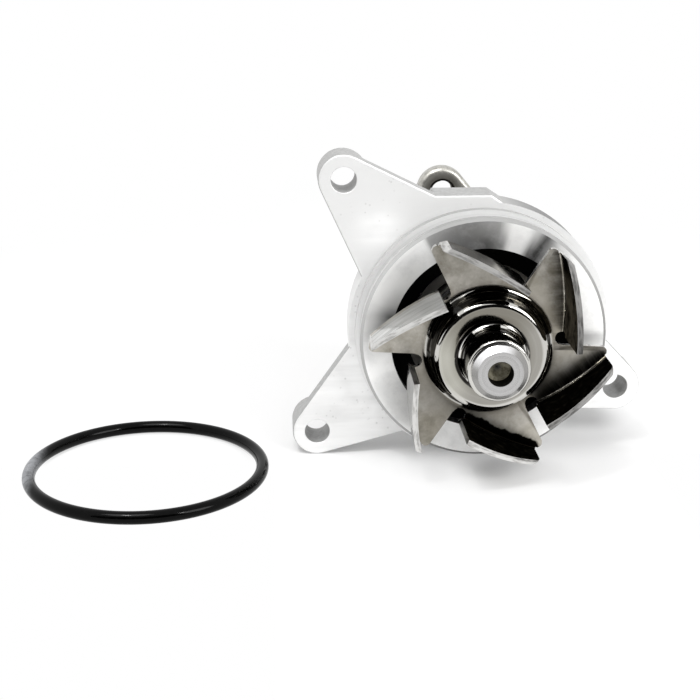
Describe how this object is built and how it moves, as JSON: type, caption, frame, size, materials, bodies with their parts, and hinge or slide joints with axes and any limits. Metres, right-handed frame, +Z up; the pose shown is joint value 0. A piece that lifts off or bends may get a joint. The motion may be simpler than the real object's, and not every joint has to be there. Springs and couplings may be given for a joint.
{
  "type": "engine coolant pump",
  "caption": "Engine coolant pump: round cast flange with bolt ears, sealed shaft bearing, stamped open impeller and three-cornered pulley hub, with its loose sealing ring beside it.",
  "frame": {"origin": "shaft axis in the plane of the mounting face, where the shoulder that centres the pump ends", "axes": "+X to the right and +Z up as seen from the impeller side, +Y along the shaft from the impeller towards the pulley hub"},
  "size_m": [0.1739, 0.1058, 0.0865],
  "materials": {
    "cast_aluminium": "die-cast, turned on the faces, satin",
    "ground_steel": "ground, semi-bright",
    "bearing_steel": "ground and polished",
    "cage_plastic": "moulded",
    "seal_rubber": "matte",
    "stainless_sheet": "drawn sheet",
    "carbon_graphite": "lapped graphite",
    "spring_steel": "bright wire",
    "ceramic": "lapped ceramic",
    "stamped_steel": "stamped sheet, bright where drawn",
    "hub_steel": "dark, machined faces",
    "ring_rubber": "glossy black"
  },
  "bodies": {
    "pump_body": {"housing": "cast_aluminium", "bearing_outer_ring": "bearing_steel", "front_bearing_seal": "seal_rubber", "back_bearing_seal": "seal_rubber", "seal_case": "stainless_sheet", "seal_bellows": "seal_rubber", "front_ferrule": "stainless_sheet", "back_ferrule": "stainless_sheet", "carbon_ring": "carbon_graphite", "seal_spring": "spring_steel"},
    "rotor": {"shaft": "ground_steel", "impeller": "stamped_steel", "ceramic_ring": "ceramic", "ceramic_boot": "seal_rubber", "seal_sleeve": "stainless_sheet", "slinger": "stainless_sheet", "pulley_hub": "hub_steel"},
    "ball_row": {"bearing_balls": "bearing_steel", "ball_cage": "cage_plastic"},
    "roller_row": {"bearing_rollers": "bearing_steel", "roller_cage": "cage_plastic"},
    "loose_ring": {"o_ring": "ring_rubber"}
  },
  "joints": [
    {"name": "shaft_spin", "type": "hinge", "parent": "pump_body", "child": "rotor", "pos_m": [0, 0, 0], "axis": [0, 1, 0], "continuous": true},
    {"name": "ball_row_spin", "type": "hinge", "parent": "pump_body", "child": "ball_row", "pos_m": [0, 0.0225, 0], "axis": [0, 1, 0], "continuous": true},
    {"name": "roller_row_spin", "type": "hinge", "parent": "pump_body", "child": "roller_row", "pos_m": [0, 0.037, 0], "axis": [0, 1, 0], "continuous": true},
    {"name": "ring_lift", "type": "slide", "parent": "pump_body", "child": "loose_ring", "axis": [0, 0, 1], "range_m": [0, 0.06]}
  ],
  "couplings": [
    {"joint": "ball_row_spin", "follows": "shaft_spin", "ratio": 0.36},
    {"joint": "roller_row_spin", "follows": "shaft_spin", "ratio": 0.4035}
  ]
}
